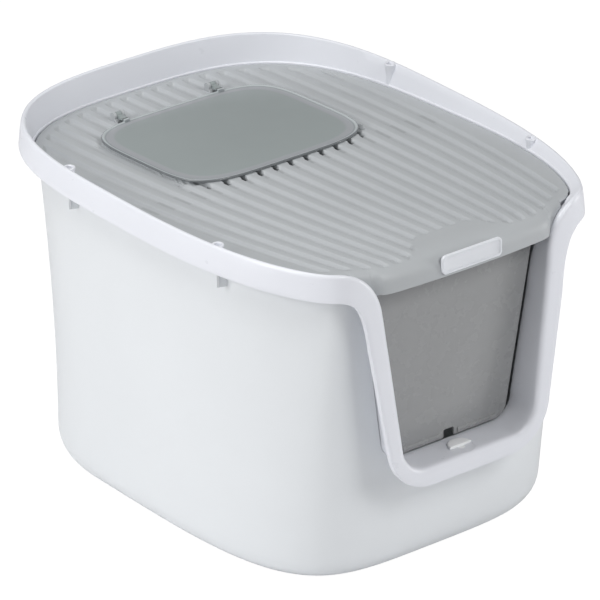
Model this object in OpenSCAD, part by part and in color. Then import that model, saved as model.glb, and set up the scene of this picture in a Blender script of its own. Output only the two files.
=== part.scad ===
// Top entry litter box with a swinging front door.
// Front faces -Y, the floor is Z = 0, the origin is the middle of the footprint.

/* [Overall] */
// Width across the rim
body_w = 407.4; // [340:1:460]
// Length from the back of the rim to the front face of the rim
body_l = 519.5; // [450:1:600]
// Height of the rim's top edge
rim_h = 340; // [280:1:400]
// How far the front face of the rim lies before the middle
rim_front = 254.6; // [225:0.5:290]

/* [Rim] */
// Where the widest point lies, measured from the middle
rim_mid = 26.6; // [0:1:60]
// Height of the outer skirt
skirt_h = 26.5; // [16:0.5:40]
// Wall thickness of the rim
rim_t = 2.6; // [2:0.1:4]
// Inset of the lid's edge from the outside of the skirt
seat_in = 14.6; // [12:0.2:20]
// Width of the ledge under the lid
ledge_w = 9; // [6:0.5:14]
// Fullness of the back corners
rim_nr = 3.05; // [2.4:0.05:4]
// Fullness of the front corners
rim_nf = 2.87; // [2.4:0.05:4]

/* [Screw bosses] */
// Outer diameter of a boss
boss_d = 11.5; // [9:0.5:15]
// Diameter of its open top
boss_bore = 6.4; // [5:0.2:8]
// Distance of the back pair from the back of the rim
boss_back = 172.4; // [120:0.1:220]
// Position of the front pair along the box
boss_yf = -125; // [-170:1:-80]
// Inset of the boss axis from the outside of the skirt
boss_in = 9.4; // [7:0.2:12]
// Screw shank diameter
screw_d = 3.5; // [3:0.1:4.5]

/* [Tub] */
// Wall thickness
tub_t = 2.8; // [2:0.1:4]
// Half width of the floor outline
base_a = 182.3; // [150:1:200]
// Distance of the floor outline from the back of the rim
base_back = 37.3; // [20:0.1:60]
// Reach of the floor outline before its widest point
base_bf = 306.4; // [260:1:330]
// Where the floor outline is widest
base_mid = 81.7; // [50:1:110]
// Radius of the bottom edge
base_r = 30; // [14:1:40]
// Inset of the wall's top from the outside of the skirt
tub_in = 18.2; // [16:0.2:24]

/* [Front frame] */
// Height of the opening's lower edge
door_sill = 123.7; // [100:1:160]
// Half width of the opening at the top
open_wt = 101.6; // [80:1:120]
// Half width of the opening at the sill
open_wb = 75.4; // [60:1:95]
// Corner radius of the opening
open_r = 27.6; // [15:1:40]
// Half width of the frame outside at the top
fr_wt = 124.7; // [105:1:140]
// Half width of the frame outside at the bottom
fr_wb = 88.4; // [75:1:110]
// Height of the frame's lower edge
fr_low = 104.9; // [80:1:130]
// Outer corner radius of the frame
fr_r = 49.9; // [30:1:60]
// Forward lean of the frame over its height
fr_lean = 0.049; // [0:0.005:0.08]

/* [Lid] */
// Depth of the lid's surface below the rim's top edge, in the middle of the box
lid_drop = 18.2; // [14:0.1:30]
// Rise of the lid towards the front
lid_tilt = 0.051; // [0:0.005:0.08]
// Thickness of the panel
lid_t = 5.2; // [4:0.1:8]
// Running clearance between lid and rim
lid_gap = 0.9; // [0.5:0.1:2]
// Height at which the lid sits over its ledge
seat_gap = 0.3; // [0.1:0.05:0.6]
// Height of the front lip
lip_h = 24; // [14:0.5:32]
// Distance from one rib to the next
rib_pitch = 18.3; // [14:0.1:24]
// Depth of the grooves
groove_d = 2.6; // [1:0.1:3.5]
// Width of a groove at the surface
groove_w = 11; // [6:0.5:15]

/* [Top flap] */
// Half width of the flap
flap_a = 109; // [80:1:125]
// Half depth of the flap
flap_b = 91.5; // [70:1:105]
// Distance of the flap's middle from the back of the rim
flap_back = 167.4; // [140:0.1:200]
// Thickness of the flap
flap_t = 2.4; // [1.6:0.1:4]
// How far the flap laps over the panel
flap_lap = 9; // [5:0.5:14]
// Distance of each hinge from the middle
hinge_x = 57; // [35:1:80]
// Hinge pin diameter
pin_d = 3; // [2:0.1:4]

/* [Front door] */
// Thickness of the door
door_t = 3; // [2:0.1:5]
// Half width at the hinge line
door_wt = 97.4; // [75:1:115]
// Half width at the lower edge
door_wb = 67.5; // [50:1:90]
// Front face of the door, before the middle
door_y = 231; // [215:0.5:245]
// Gap between the door and the sill
door_gap = 2.6; // [2.4:0.1:6]
// Depth of the hinge line below the rim's top edge
door_drop = 38; // [34:0.5:60]
// Diameter of the door's stub pins
stub_d = 5; // [3:0.1:7]
// Length of each stub pin beyond the door's edge
stub_l = 8; // [5:0.5:12]
// Width of the catch notch
notch_w = 12; // [8:0.5:20]

/* [Latch and plate] */
// Radius of the half-round turn button
latch_r = 12.5; // [8:0.5:13]
// Thickness of the turn button
latch_t = 2.4; // [1.6:0.1:2.4]
// Diameter of its shank
latch_d = 8; // [5:0.2:10]
// Width of the badge plate
badge_w = 70; // [40:1:90]
// Height of the badge plate
badge_h = 18.6; // [10:0.1:21]

/* [Clearances] */
// Radial clearance of a pin in its hinge
pin_gap = 0.08; // [0.02:0.01:0.1]
// Gap between parts that move on each other
run_gap = 0.4; // [0.3:0.05:1]

/* [Hidden] */
white = [0.93, 0.93, 0.95];
grey = [0.72, 0.72, 0.73];
smoke = [0.42, 0.42, 0.44];
steel = [0.7, 0.7, 0.72];
rim_a = body_w / 2;
back_y = body_l - rim_front;
rim_br = back_y - rim_mid;
rim_bf = (rim_front + rim_mid) * 1.174551;
seg = 84;
skirt_z = rim_h - skirt_h;
fr_ref = skirt_z + 2.3;
lid_h = rim_h - lid_drop;
door_hz = rim_h - door_drop;
boss_yr = back_y - boss_back;
base_br = back_y - base_back - base_mid;
flap_cy = back_y - flap_back;
pivot_y = flap_cy + 102.5;
pivot_z = lid_z(pivot_y) + 5;
flap_under = 0.35;
door_low = door_sill + door_gap;
door_k = (door_wt - door_wb) / (door_hz - door_low);
door_mid = -door_y + door_t / 2;
latch_y = -rim_front + 6.1;

// Height of the lid's surface over a point along the box
function lid_z(y) = lid_h - lid_tilt * y;

// Superellipse radius with separate back and front reach
function sup(t, a, br, bf, nr, nf) =
  let (c = abs(cos(t)) + 1e-9, s = abs(sin(t)) + 1e-9, b = sin(t) > 0 ? br : bf, n = sin(t) > 0 ? nr : nf)
  pow(pow(c / a, n) + pow(s / b, n), -1 / n);

// Outside of the rim, cut flat at the front with soft corners
function rim_pt(t) =
  let (r0 = sup(t, rim_a, rim_br, rim_bf, rim_nr, rim_nf),
       rf = sin(t) < -0.2 ? (rim_mid + rim_front) / (-sin(t)) : 10000,
       r = r0 * pow(1 + pow(r0 / rf, 38), -1 / 38))
  [cos(t) * r, rim_mid + sin(t) * r];

function rim_n(t) = let (d = rim_pt(t + 0.4) - rim_pt(t - 0.4)) [-d[1], d[0]] / norm(d);

function rim_in(t, i) = rim_pt(t) + i * rim_n(t);

function base_pt(t) =
  let (r = sup(t, base_a, base_br, base_bf, 2.39, 4.09)) [cos(t) * r, base_mid + sin(t) * r];

function base_n(t) = let (d = base_pt(t + 0.4) - base_pt(t - 0.4)) [-d[1], d[0]] / norm(d);

function base_in(t, i) = base_pt(t) + i * base_n(t);

function mixp(p, q, k) = p + (q - p) * k;

// Faces of a stack of rings with m points each, closed at both ends
function stack_faces(n, m) = concat(
  [[for (i = [0 : m - 1]) i]],
  [for (k = [0 : n - 2]) for (i = [0 : m - 1]) [k * m + i, (k + 1) * m + i, (k + 1) * m + (i + 1) % m]],
  [for (k = [0 : n - 2]) for (i = [0 : m - 1]) [k * m + i, (k + 1) * m + (i + 1) % m, k * m + (i + 1) % m]],
  [[for (i = [m - 1 : -1 : 0]) (n - 1) * m + i]]);

module stack(rings) {
  m = len(rings[0]);
  pts = [for (r = rings) for (p = r) p];
  polyhedron(points = pts, faces = stack_faces(len(rings), m), convexity = 8);
}

// Ring of the tub wall at height z, moved inwards by i
function tub_ring(z, i) =
  let (zt = skirt_z - 6)
  [for (j = [0 : seg - 1]) let (t = j * 360 / seg, low = z < base_r ? base_r - sqrt(max(0, base_r * base_r - pow(base_r - z, 2))) : 0)
    let (p = mixp(base_in(t, i + low), rim_in(t, tub_in + i), max(0, z) / zt)) [p[0], p[1], z]];

// Top ring of the tub, just under the rim's ledge
function tub_top(i) = [for (j = [0 : seg - 1]) let (t = j * 360 / seg, p = rim_in(t, tub_in + i)) [p[0], p[1], ledge_z(t, tub_in + i) - rim_t - 0.1 - min(5, top_dip(rim_pt(t)))]];

// U outline used by the frame: k runs from the top of one leg to the middle of the bottom
leg_n = 5;
arc_n = 8;
bot_n = 2;
half_n = leg_n + arc_n + bot_n;
function u_pt(k, wt, wb, zb, r, zt) =
  let (a = atan2(wt - wb, fr_ref - zb), cx = wb + r * tan(a) - r / cos(a), cz = zb + r, tz = cz - r * sin(a))
  k < leg_n ? let (z = zt + (tz - zt) * k / leg_n) [wb + (z - zb) * tan(a), z]
  : k < leg_n + arc_n ? let (b = -a - (90 - a) * (k - leg_n) / arc_n) [cx + r * cos(b), cz + r * sin(b)]
  : [cx * (1 - (k - leg_n - arc_n) / bot_n), zb];

function u_full(k, wt, wb, zb, r, zt) =
  k <= half_n ? u_pt(k, wt, wb, zb, r, zt) : let (q = u_pt(2 * half_n - k, wt, wb, zb, r, zt)) [-q[0], q[1]];

function lean_y(z) = -rim_front - fr_lean * (fr_ref - z);

// Cross section of the frame at station k: face, jamb and sill, back flange
leg_top = skirt_z - 8.5;
jamb_y = -door_y + 3.5;
jamb_wt = open_wt + 11;
jamb_wb = open_wb - 2.2;
function frame_sec(k) =
  let (o = u_full(k, fr_wt, fr_wb, fr_low, fr_r, leg_top),
       oc = u_full(k, fr_wt - 1.2, fr_wb - 1.2, fr_low + 1.2, fr_r - 1.2, leg_top),
       o2 = u_full(k, fr_wt - rim_t, fr_wb - rim_t, fr_low + rim_t, fr_r - rim_t, leg_top),
       ic = u_full(k, open_wt + 1.6, open_wb + 1.6, door_sill - 1.6, open_r + 1.6, leg_top),
       i = u_full(k, open_wt, open_wb, door_sill, open_r, leg_top),
       i2 = u_full(k, open_wt + rim_t, open_wb + rim_t, door_sill - rim_t, open_r + rim_t, leg_top),
       j = u_full(k, jamb_wt, jamb_wb, door_sill, open_r - 3, leg_top),
       j2 = u_full(k, jamb_wt + rim_t, jamb_wb + rim_t, door_sill - rim_t, open_r - 3 + rim_t, leg_top))
  [[o2[0], lean_y(o2[1]) + rim_t, o2[1]], [o[0], lean_y(o[1]) + rim_t - 0.6, o[1]],
   [o[0], lean_y(o[1]) + 1.2, o[1]], [oc[0], lean_y(oc[1]), oc[1]],
   [ic[0], lean_y(ic[1]), ic[1]], [i[0], lean_y(i[1]) + 1.6, i[1]], [j[0], jamb_y, j[1]],
   [j2[0], jamb_y, j2[1]], [i2[0], lean_y(i2[1]) + rim_t + 1.6, i2[1]]];

module front_frame() {
  stack([for (k = [0 : 2 * half_n]) frame_sec(k)]);
}

// Drop of the rim's top and of its lower edge where it runs into the frame
function top_dip(p) = p[1] < -200 && abs(p[0]) < 148 ? min(34, 26 * pow((148 - abs(p[0])) / 42, 2)) : 0;
function low_dip(p) = p[1] < -200 && abs(p[0]) < 148 ? min(70, 20 * pow((148 - abs(p[0])) / 26, 2)) : 0;

// Height of the ledge that carries the lid, at angle t and inset i
function ledge_z(t, i) =
  let (d = top_dip(rim_pt(t)))
  min(lid_z(rim_in(t, i)[1]) - lid_t - seat_gap, rim_h - d - 8 - min(5, d));

// How much the skirt follows the lean of the frame below it
function skirt_lean(p, z) = p[1] < -200 && abs(p[0]) < 142 ? min(1, (142 - abs(p[0])) / 20) * fr_lean * max(0, fr_ref - z) : 0;

function rim_sec(t) =
  let (p = rim_pt(t), zt = rim_h - top_dip(p), zb = skirt_z - low_dip(p), d = min(5, top_dip(p)),
       f = 1 - min(1, top_dip(p) / 8), zs = lid_z(rim_in(t, seat_in)[1]), za = ledge_z(t, seat_in), zb2 = ledge_z(t, seat_in + ledge_w),
       zi = min(zs + 1.5, zt - 2.4 - d), x0 = seat_in)
  [for (q = [[-skirt_lean(p, zb), zb], [0.9 * f - skirt_lean(p, zb + 8), zb + 8],
      [2.2 * f - skirt_lean(p, zt - 5), zt - 5], [0.8 + 2.6 * f - skirt_lean(p, zt), zt - 1.6],
      [3.4 + 2 * f - skirt_lean(p, zt), zt], [7.6, zt - 0.9 - d / 2],
      [13.4, zi], [x0, min(zs - 1.2, zi - 1)], [x0 + 0.2, za], [x0 + ledge_w, zb2],
      [x0 + ledge_w, zb2 - rim_t], [x0 - 2.4, za - rim_t], [x0 - 4.2, min(zi - 3, zt - 7)],
      [5.2, zt - rim_t - d / 2], [rim_t + 1.6, zt - 6.5], [rim_t - skirt_lean(p, zb), zb]])
    let (w = rim_in(t, q[0])) [w[0], w[1], q[1]]];

// Stations round the rim, closer together in the front corners
ring_half = concat([for (t = [-70 : 1.6 : -50.8]) t], [for (t = [-48 : 6 : 36]) t], [for (t = [40 : 3.5 : 64.5]) t], [68, 74, 80]);
ring_at = concat(ring_half, [86, 94], [for (k = [len(ring_half) - 1 : -1 : 0]) 180 - ring_half[k]]);
module rim_ring() {
  stack([for (k = [len(ring_at) - 1 : -1 : 0]) rim_sec(ring_at[k])]);
}

// Boss centre on one side of the rim for a place along the box
function side_x(y, i) =
  let (u = abs(y - rim_mid) / (y > rim_mid ? rim_br : rim_bf), n = y > rim_mid ? rim_nr : rim_nf)
  rim_a * pow(1 - pow(u, n), 1 / n) - i;

boss_places = [for (s = [-1, 1]) for (y = [boss_yr, boss_yf]) [s * side_x(y, boss_in), y]];
boss_top = rim_h - 2.2;
boss_low = skirt_z - 9;
bracket_top = boss_low;

module bosses() {
  for (p = boss_places) translate([p[0], p[1], 0]) {
    translate([0, 0, boss_low]) cylinder(d = boss_bore + 2.4, h = boss_top - boss_low - 4, $fn = 40);
    translate([0, 0, boss_top - 13]) cylinder(d1 = boss_bore + 1, d2 = boss_d, h = 11.4, $fn = 40);
    translate([0, 0, boss_top - 1.7]) cylinder(d = boss_d, h = 1.7, $fn = 40);
  }
}

module boss_bores() {
  for (p = boss_places) {
    translate([p[0], p[1], boss_low + 6]) cylinder(d = boss_bore, h = 60, $fn = 32);
    translate([p[0], p[1], boss_low - 1]) cylinder(d = screw_d + 0.4, h = 60, $fn = 32);
  }
}

module rim_frame() {
  color(white) difference() {
    union() {
      rim_shell();
      bosses();
      hinge_ears();
    }
    boss_bores();
    ear_bores();
    latch_bore();
  }
}

// Ring, U-frame and legs as one smooth skin
module rim_shell() {
  minkowski() {
    difference() {
      union() {
        rim_ring();
        front_frame();
      }
      lid_room();
    }
  }
}

// Ears that carry the door's stub pins behind the jambs
ear_x = door_wt + run_gap + 1.4;
module hinge_ears() {
  for (s = [-1, 1]) translate([s * (ear_x + 5.5), door_mid, door_hz]) rotate([0, 90, 0]) cylinder(d = stub_d + 6, h = 11, center = true, $fn = 40);
}

module ear_bores() {
  for (s = [-1, 1]) translate([s * (ear_x + 5.5), door_mid, door_hz]) rotate([0, 90, 0]) cylinder(d = stub_d + 2 * pin_gap, h = 30, center = true, $fn = 40);
}

// Round recess and bore for the turn button
latch_floor = door_sill - 0.5;
module latch_bore() {
  translate([0, latch_y, latch_floor]) cylinder(r = latch_r + 0.7, h = 5, $fn = 64);
  translate([0, latch_y, door_sill - 20]) cylinder(d = latch_d + 2 * pin_gap, h = 30, $fn = 48);
}

// Space kept free for the lid between the ends of the rim
module lid_room() {
  translate([-open_wt + 0.2, -rim_front - 12, leg_top + 0.4]) cube([2 * open_wt - 0.4, 40, 60]);
}

module tub() {
  color(white) difference() {
    union() {
      tub_shell();
      brackets();
    }
    bracket_bores();
  }
}

// Wall and floor as one smooth skin, open at the top and at the doorway
module tub_shell() {
  zm = skirt_z - 21.5;
  zs = [0, 1.6, 6, 14, 28, 0.34 * zm, 0.68 * zm, zm];
  zi = [tub_t, tub_t + 1.4, 7, 14.6, 28, 0.34 * zm, 0.68 * zm, zm];
  minkowski() {
    difference() {
      stack(concat([for (z = zs) tub_ring(z, 0)], [tub_top(0)], [tub_top(tub_t)], [for (k = [len(zi) - 1 : -1 : 0]) tub_ring(zi[k], tub_t)]));
      doorway();
    }
  }
}

// Opening in the front wall behind the frame
module doorway() {
  g = rim_t + 0.15;
  translate([0, -130, 0]) rotate([90, 0, 0]) linear_extrude(height = 150)
    polygon([for (k = [0 : 2 * half_n]) u_full(k, jamb_wt + g, jamb_wb + g, door_sill - g, open_r - 3 + g, rim_h + 20)]);
}

// Screw brackets on the wall below each boss
module brackets() {
  for (p = boss_places) let (s = sign(p[0])) {
    hull() {
      translate([p[0] - s * 1, p[1] - 2, bracket_top - 14]) cube([2, 4, 14], center = false);
      translate([p[0] - s * 12 - 1, p[1] - 2, bracket_top - 22]) cube([2, 4, 22], center = false);
    }
    translate([p[0], p[1], bracket_top - 8]) cylinder(d = 8.4, h = 7.98, $fn = 32);
  }
}

module bracket_bores() {
  for (p = boss_places) translate([p[0], p[1], bracket_top - 12]) cylinder(d = screw_d - 0.02, h = 30, $fn = 32);
}

module rim_screws() {
  color(steel) for (p = boss_places) difference() {
    union() {
      translate([p[0], p[1], boss_low + 6.02]) cylinder(d = boss_bore - 0.5, h = 2.4, $fn = 32);
      translate([p[0], p[1], bracket_top - 9]) cylinder(d = screw_d - 0.04, h = 16, $fn = 32);
    }
    translate([p[0], p[1], boss_low + 7.3]) cylinder(d = 3, h = 4, $fn = 6);
  }
}

// Sideways reach of the ribs: 1 at the middle line, less towards the front
function rib_g(y) = let (q = (y + 19.3) / 252.7) 1 + 0.118 * q - 0.110 * q * q + 0.008 * q * q * q;

function lid_out(t, i) = rim_in(t, seat_in + lid_gap + i);

// Front and back ends of groove number n
function groove_back(x) = let (u = abs(x) / (rim_a - seat_in - 7)) rim_mid + (rim_br - seat_in - 8) * pow(max(0.0001, 1 - pow(min(u, 0.999), rim_nr)), 1 / rim_nr);
function groove_front(x) = abs(x) < 44 ? -213 : -240 + 30 * pow(abs(x) / 162, 4);

module groove(n) {
  x0 = n * rib_pitch;
  yb = groove_back(x0 * 1.02);
  yf = groove_front(x0 * 0.86);
  m = 7;
  w = groove_w / 2;
  stack([for (k = [0 : m]) let (y = yb + (yf - yb) * k / m, x = x0 * rib_g(y), e = groove_d, z = lid_z(y))
    [[x - w, y, z + 0.6], [x - w, y, z], [x - w + 3.2 * e / groove_d, y, z - e], [x + w - 3.2 * e / groove_d, y, z - e], [x + w, y, z], [x + w, y, z + 0.6]]]);
}

module lid_plate() {
  m = seg;
  function ring(i, dz) = [for (j = [0 : m - 1]) let (t = j * 360 / m, p = lid_out(t, i)) [p[0], p[1], lid_z(p[1]) + dz]];
  stack([ring(0.8, -lid_t), ring(0, -lid_t + 0.8), ring(0, -0.8), ring(0.8, 0)]);
}

// Front apron: the panel rolls down to the lip and, beside it, to the rim's ridge
lip_z = lid_z(-rim_front) - lip_h;
lip_x = open_wt - 0.6;
apron_x = [0, 28, 54, 76, 90, 97, lip_x, lip_x + 3.2, lip_x + 7, 113, 119, 125, 131];
function lerp3(x, xa, ya, xb, yb) = ya + (yb - ya) * (x - xa) / (xb - xa);
function apron_y(x) = x <= lip_x ? -rim_front - 0.8 - 4.2 * (1 - pow(x / lip_x, 2))
  : x <= lip_x + 7 ? lerp3(x, lip_x, -rim_front - 0.8, lip_x + 7, -rim_front + 8.1)
  : lerp3(x, lip_x + 7, -rim_front + 8.1, 131, -rim_front + 17);
function apron_low(x) =
  let (zt = rim_h - top_dip([x, -250]))
  x <= lip_x ? lip_z
  : x <= lip_x + 7 ? max(lerp3(x, lip_x, lip_z, lip_x + 7, zt - 3), x < lip_x + 5 ? zt + 0.6 : 0)
  : min(zt - 3, lid_z(-238) - 2.4);

// Profile from the panel down to the lower edge at station x, outside then inside
function apron_sec(x, sx) =
  let (yl = apron_y(x), zl = apron_low(x), y0 = -rim_front + (x > 120 ? 25.6 : 23.6), z0 = lid_z(y0))
  concat([[sx * x, y0 + 5, lid_z(y0 + 5)]],
    [for (k = [0 : 6]) let (c = pow(cos(k * 15), 0.62), e = pow(sin(k * 15), 0.62)) [sx * x, y0 + (yl - y0) * e, k == 6 ? zl : zl + (z0 - zl) * c]],
    [for (k = [6 : -1 : 0]) let (c = pow(cos(k * 15), 0.62), e = pow(sin(k * 15), 0.62)) [sx * x, y0 + 1.6 + (yl + 2.4 - y0 - 1.6) * e, k == 6 ? zl : max(zl, zl - 2.4 + (z0 - zl) * c)]],
    [[sx * x, y0 + 5, lid_z(y0 + 5) - lid_t]]);

module lip() {
  n = len(apron_x) - 1;
  stack([for (k = [-n : n]) apron_sec(apron_x[abs(k)], k < 0 ? -1 : 1)]);
}

module entry_hole() {
  a = flap_a - flap_lap;
  b = flap_b - flap_lap;
  translate([0, flap_cy, 200]) linear_extrude(height = 200) polygon([for (j = [0 : 71]) let (t = j * 5, r = sup(t, a, b, b, 4.4, 4.4)) [cos(t) * r, sin(t) * r]]);
}

lug_t = 3;
lug_gap = 7;
module lugs() {
  for (s = [-1, 1]) for (q = [-1, 1]) translate([s * hinge_x + q * (lug_gap / 2 + lug_t / 2), pivot_y, pivot_z]) rotate([0, 90, 0]) hull() {
    cylinder(d = 8, h = lug_t, center = true, $fn = 32);
    translate([8, 0, 0]) cube([1, 14, lug_t], center = true);
  }
}

module lug_bores() {
  for (s = [-1, 1]) translate([s * hinge_x, pivot_y, pivot_z]) rotate([0, 90, 0]) cylinder(d = pin_d, h = lug_gap + 2 * lug_t - 1.2, center = true, $fn = 32);
}

// Panel, tongue and lip as one skin with the grooves in it
module lid_skin() {
  minkowski() {
    difference() {
      union() {
        lid_plate();
        lip();
      }
      for (n = [-10 : 10]) if (abs(n) * rib_pitch * 1.03 < rim_a - seat_in - 14) groove(n);
      entry_hole();
    }
  }
}

module lid() {
  color(grey) difference() {
    union() {
      lid_skin();
      lugs();
    }
    lug_bores();
    badge_seat();
  }
}

// Badge plate: a bordered plate on the lip
badge_z = lid_z(-rim_front) - lip_h / 2 + 0.2;
badge_y = -rim_front - 5;
module badge_body(w, h, r, d) {
  rotate([90, 0, 0]) linear_extrude(height = d) union() {
    square([w - 2 * r, h], center = true);
    square([w, h - 2 * r], center = true);
    for (s = [-1, 1]) for (q = [-1, 1]) translate([s * (w / 2 - r), q * (h / 2 - r)]) circle(r = r, $fn = 40);
  }
}

module badge_seat() {
  translate([0, badge_y + 1.2, badge_z]) badge_body(badge_w + 0.02, badge_h + 0.02, 4.5, 6);
}

module badge_plate() {
  color(white) difference() {
    translate([0, badge_y + 1.2, badge_z]) badge_body(badge_w, badge_h, 4.5, 3);
    translate([0, badge_y - 1.1, badge_z]) badge_body(badge_w - 5, badge_h - 5, 3, 3);
  }
}

// Flap: a domed sheet with a lower border, knuckles at the back
module top_flap() {
  m = 60;
  function fr(k, dz) = [for (j = [0 : m - 1]) let (t = j * 360 / m, r = sup(t, flap_a * k, flap_b * k, flap_b * k, 4.6, 4.6), x = cos(t) * r, y = flap_cy + sin(t) * r) [x, y, lid_z(y) + dz]];
  color(smoke) difference() {
    union() {
      stack([fr(0.86, flap_under + 1.4), fr(0.9, flap_under), fr(0.993, flap_under), fr(1, flap_under + 0.7), fr(1, flap_under + flap_t - 0.6), fr(0.993, flap_under + flap_t), fr(0.9, flap_under + flap_t), fr(0.87, flap_under + flap_t + 1.6), fr(0.6, flap_under + flap_t + 2.6), fr(0.3, flap_under + flap_t + 3)]);
      for (s = [-1, 1]) translate([s * hinge_x, 0, 0]) {
        translate([0, pivot_y, pivot_z]) rotate([0, 90, 0]) cylinder(d = 7, h = lug_gap - 2 * run_gap, center = true, $fn = 32);
        translate([-(lug_gap - 2 * run_gap) / 2, pivot_y - 16, pivot_z - 1.5]) cube([lug_gap - 2 * run_gap, 16, 2.6]);
      }
    }
    for (s = [-1, 1]) translate([s * hinge_x, pivot_y, pivot_z]) rotate([0, 90, 0]) cylinder(d = pin_d + 2 * pin_gap, h = 20, center = true, $fn = 32);
  }
}

module flap_pin(s) {
  color(steel) translate([s * hinge_x, pivot_y, pivot_z]) rotate([0, 90, 0]) cylinder(d = pin_d - 0.02, h = lug_gap + 2 * lug_t - 1.3, center = true, $fn = 32);
}

module flap_pin_left() {
  flap_pin(-1);
}

module flap_pin_right() {
  flap_pin(1);
}

// Door: a flat sheet that narrows downwards, with a bead along its lower edge
module door_shape(t) {
  r = 14;
  top = door_hz + 5.2;
  wt = door_wb + (top - door_low) * door_k;
  a = atan(door_k);
  cx = door_wb + r * tan(a) - r / cos(a);
  pts = concat([[wt, top]], [for (i = [0 : 8]) let (b = -a - (90 - a) * i / 8) [cx + r * cos(b), door_low + r + r * sin(b)]], [for (i = [8 : -1 : 0]) let (b = -a - (90 - a) * i / 8) [-cx - r * cos(b), door_low + r + r * sin(b)]], [[-wt, top]]);
  rotate([90, 0, 0]) linear_extrude(height = t, center = true) polygon(pts);
}

module front_door() {
  color(smoke) difference() {
    union() {
      translate([0, door_mid, 0]) door_shape(door_t);
      translate([-door_wb + 12, -door_y - 0.9, door_low + 1.4]) cube([2 * door_wb - 24, 1.2, 5]);
      for (s = [-1, 1]) {
        translate([s * (door_wt - 7), door_mid, door_hz]) rotate([0, 90, 0]) cylinder(d = stub_d + 3, h = 10, center = true, $fn = 40);
        translate([s * (door_wt + stub_l / 2 - 2), door_mid, door_hz]) rotate([0, 90, 0]) cylinder(d = stub_d, h = stub_l + 4, center = true, $fn = 40);
      }
    }
    translate([-notch_w / 2, -door_y - 3, door_low - 1]) cube([notch_w, 10, 9.4]);
  }
}

// Turn button: half-round grip in its recess, shank through the sill, snap head below
module door_latch() {
  z0 = latch_floor + 0.3;
  color(white) union() {
    translate([0, latch_y, z0]) linear_extrude(height = latch_t) difference() {
      circle(r = latch_r, $fn = 64);
      translate([-20, -40]) square([40, 40]);
    }
    translate([0, latch_y, door_sill - rim_t - 2.4]) cylinder(d = latch_d, h = rim_t + 2.4, $fn = 48);
    translate([0, latch_y, door_sill - rim_t - 2.4]) cylinder(d = latch_d + 2.4, h = 1.8, $fn = 48);
  }
}

tub();
rim_frame();
rim_screws();
lid();
badge_plate();
top_flap();
flap_pin_left();
flap_pin_right();
front_door();
door_latch();
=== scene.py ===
import bpy, bmesh, math
import numpy as np
from mathutils import Matrix, Vector
from mathutils.geometry import delaunay_2d_cdt


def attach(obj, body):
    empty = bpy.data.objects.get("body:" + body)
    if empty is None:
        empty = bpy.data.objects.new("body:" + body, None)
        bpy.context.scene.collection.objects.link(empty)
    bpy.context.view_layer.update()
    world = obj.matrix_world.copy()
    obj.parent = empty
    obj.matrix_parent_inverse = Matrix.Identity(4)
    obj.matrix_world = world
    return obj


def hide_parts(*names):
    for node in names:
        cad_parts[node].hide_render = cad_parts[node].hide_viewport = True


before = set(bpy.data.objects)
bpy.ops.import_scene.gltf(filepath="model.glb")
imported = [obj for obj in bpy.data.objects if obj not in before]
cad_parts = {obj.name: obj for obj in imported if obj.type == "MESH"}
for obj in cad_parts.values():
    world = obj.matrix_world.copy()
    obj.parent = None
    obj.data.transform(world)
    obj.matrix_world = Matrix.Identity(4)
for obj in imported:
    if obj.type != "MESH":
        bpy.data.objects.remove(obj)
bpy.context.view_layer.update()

# Tub
# The bin that holds the litter: one white plastic moulding with drawn-in walls, a rolled bottom
# edge and a doorway in front. Four thin gussets moulded on its wall stand under the rim's screws.

# Lengths are in millimetres, and add_mesh turns them into metres.
RIM = dict(half_width=203.7, back=238.3, front=330.3, back_power=3.05, front_power=2.87)
RIM_MIDDLE_Y = 26.6
RIM_TOP = 340.0
SKIRT_Z = 313.5             # lower edge of the rim's skirt
RIM_WALL = 2.6
FRONT_Y = -254.6            # plane that presses the rim's outline flat in front
FRONT_SINE = -0.2           # directions below this sine can meet that plane
FLAT_POWER = 38             # how sharply the outline turns into the flat front
FAR_OFF = 1e4
NEVER_ZERO = 1e-9
BASE = dict(half_width=182.3, back=145.9, front=306.4, back_power=2.39, front_power=4.09)
BASE_MIDDLE_Y = 81.7
BOTTOM_ROLL = 30            # radius of the rolled bottom edge
BIN_WALL = 2.8
BIN_INSET = 18.2            # from the rim's edge to the bin's wall under it
BIN_JOIN = 6                # the wall's taper ends this far below the skirt
BIN_HEIGHTS = [60, 100, 150, 200, 250, 292]
BIN_ROLL_STEPS = (2, 8, 16, 25, 34, 44, 54, 64, 74, 83, 90)
LID_MIDDLE_Z = 321.8
LID_TILT = 0.051            # the lid rises towards the front
LID_THICK = 5.2
LID_GAP = 0.3               # between the lid and its ledge
DIP_Y = -200                # the rim's top dips in front of this line, over the door
DIP_HALF_WIDTH = 148
DIP_RUN = 42
DIP_RISE = 26
DIP_MOST = 34
LEDGE_DROP = 8              # the ledge keeps this far below the rim's top
LEDGE_MORE = 5              # and this much more where the top dips
FACE_TOP = 315.8            # height that the door frame's widths are taken at
LEG_STEPS = 14
CORNER_STEPS = 22
BOTTOM_STEPS = 12
JAMB_LINE = dict(top_half=105.5, bottom_half=73.2, bottom_z=123.7, corner=24.6)
DOORWAY_GAP = 0.15          # between the frame's jambs and the bin's doorway
DOORWAY_TOP = 361.3
DOORWAY_DEPTHS = (-285.4, -181.7, -131.3)
BOSS_INSET = 9.4            # from the rim's edge to the screws
BOSS_ROWS = (92.5, -125.0)
GUSSET_OUTLINE = [(2.2, 312.5), (2.2, 297.5), (1.0, 296.4), (-12.5, 294.0), (-12.5, 312.5)]
ALL_ROUND = np.arange(300) * 360 / 300


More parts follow.
